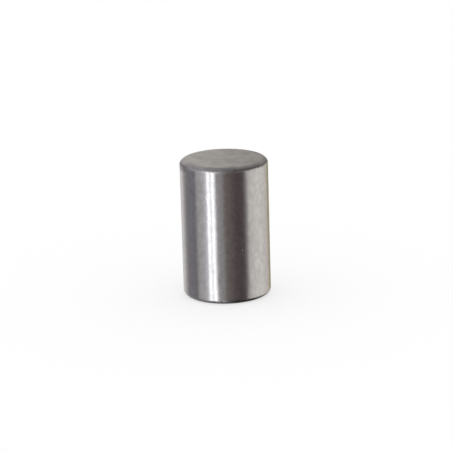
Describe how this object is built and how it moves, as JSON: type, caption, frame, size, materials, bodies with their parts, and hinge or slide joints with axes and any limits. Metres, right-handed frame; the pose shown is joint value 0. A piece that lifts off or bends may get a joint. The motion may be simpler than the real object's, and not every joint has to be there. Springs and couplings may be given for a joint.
{
  "type": "fixing pin",
  "caption": "Short solid cylindrical pin, ground on its barrel with a small chamfer at each end, pressed into a bore to locate or fix parts.",
  "frame": {"origin": "centre of the lower end face", "axes": "+Z along the pin's axis from the lower end face to the upper one; the pin is round, so X and Y are free"},
  "size_m": [0.01, 0.01, 0.0158],
  "materials": {
    "ground_steel": "barrel ground bright in fine rings, end faces and chamfers tumbled matte grey"
  },
  "bodies": {
    "root": {"fixing_pin": "ground_steel"}
  },
  "joints": []
}
